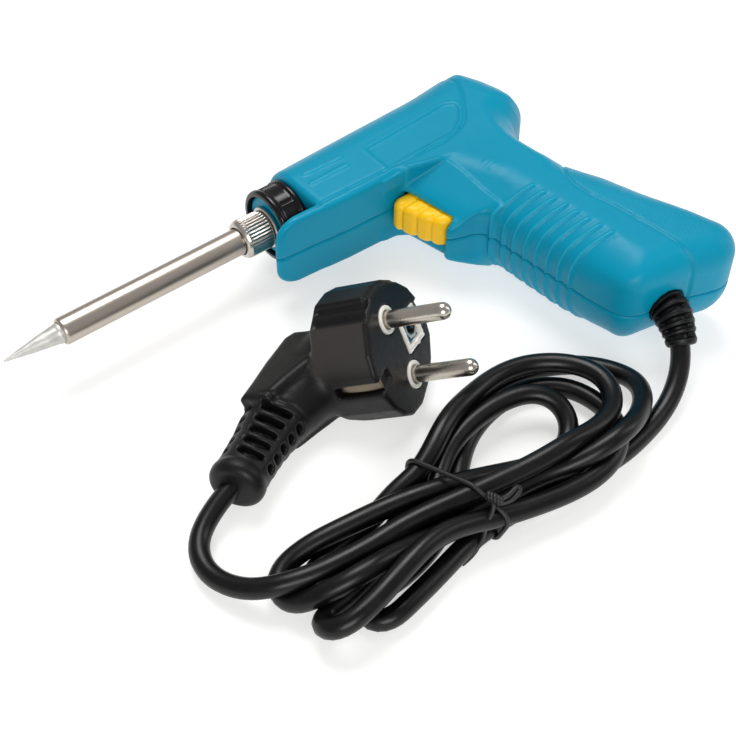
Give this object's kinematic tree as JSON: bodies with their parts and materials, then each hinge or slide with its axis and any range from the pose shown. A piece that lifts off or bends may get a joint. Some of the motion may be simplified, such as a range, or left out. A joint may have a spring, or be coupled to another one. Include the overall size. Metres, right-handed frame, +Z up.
{
  "type": "soldering iron",
  "caption": "Pistol-type mains soldering iron with a pencil bit, sprung heat-boost trigger, knurled bit nut, tied cord and angled earthed plug, lying on its side.",
  "frame": {"origin": "on the surface that it lies on, under the middle of the iron's own bounding box (the free cord, strain relief and plug left out)", "axes": "+Z up from the surface; +X along the barrel from the bit to the rear of the housing; -Y towards the trigger and the grip's butt"},
  "size_m": [0.1778, 0.1361, 0.0377],
  "materials": {
    "housing_blue": "satin moulded ABS with a fine spark texture",
    "trigger_yellow": "satin",
    "black_plastic": "satin",
    "gloss_black": "glossy",
    "cord_black": "semi-gloss extruded PVC",
    "plug_black": "satin moulded PVC with a fine grain",
    "nickel": "brushed nickel",
    "pin_nickel": "polished nickel plate",
    "steel": "zinc plated",
    "tinned": "tinned and iron plated",
    "white_plastic": "satin",
    "ceramic": "unglazed ceramic",
    "copper": "tinned copper",
    "switch_plastic": "satin",
    "brown_pvc": "core insulation",
    "blue_pvc": "core insulation",
    "green_yellow_pvc": "core insulation"
  },
  "bodies": {
    "housing": {"soldering_tip": "tinned", "barrel_tube": "nickel", "heater_mount": "steel", "ceramic_heater": "ceramic", "housing_upper_shell": "housing_blue", "housing_lower_shell": "housing_blue", "housing_screw_1": "steel", "housing_screw_2": "steel", "housing_screw_3": "steel", "housing_screw_4": "steel", "trigger_spring": "steel", "switch_body": "switch_plastic", "switch_terminal_in": "copper", "switch_terminal_out": "copper", "rectifier_diode": "black_plastic", "heater_lead_switched": "white_plastic", "diode_to_switch_wire": "brown_pvc", "live_core": "brown_pvc", "neutral_core": "blue_pvc", "earth_core": "green_yellow_pvc", "cord_inner_end": "cord_black", "cord_clamp_bar": "black_plastic", "clamp_screw_1": "steel", "clamp_screw_2": "steel", "strain_relief": "plug_black", "cord_from_iron": "cord_black", "cord_hank": "cord_black", "cord_tie": "black_plastic", "plug_body": "plug_black", "plug_pin_1": "pin_nickel", "plug_pin_2": "pin_nickel", "pin_collar_1": "white_plastic", "pin_collar_2": "white_plastic", "earth_socket": "pin_nickel", "earth_clip_upper": "pin_nickel", "earth_clip_lower": "pin_nickel", "cord_from_plug": "cord_black"},
    "trigger": {"trigger": "trigger_yellow"},
    "plunger": {"switch_plunger": "white_plastic"},
    "nut": {"knurled_nut": "nickel"},
    "nose_ring": {"nose_ring": "gloss_black"}
  },
  "joints": [
    {"name": "trigger_press", "type": "slide", "parent": "housing", "child": "trigger", "axis": [1, 0, 0], "range_m": [0, 0.004], "stiffness_N_per_m": 700, "springref_m": -0.003, "deforming": ["trigger_spring"]},
    {"name": "plunger_slide", "type": "slide", "parent": "housing", "child": "plunger", "axis": [1, 0, 0], "range_m": [0, 0.004]},
    {"name": "nut_turn", "type": "hinge", "parent": "housing", "child": "nut", "pos_m": [-0.0081, 0.04215, 0.017], "axis": [1, 0, 0], "continuous": true},
    {"name": "nose_ring_turn", "type": "hinge", "parent": "housing", "child": "nose_ring", "pos_m": [0.0015, 0.04215, 0.017], "axis": [1, 0, 0], "continuous": true}
  ],
  "couplings": [
    {"joint": "plunger_slide", "follows": "trigger_press", "ratio": 1}
  ]
}
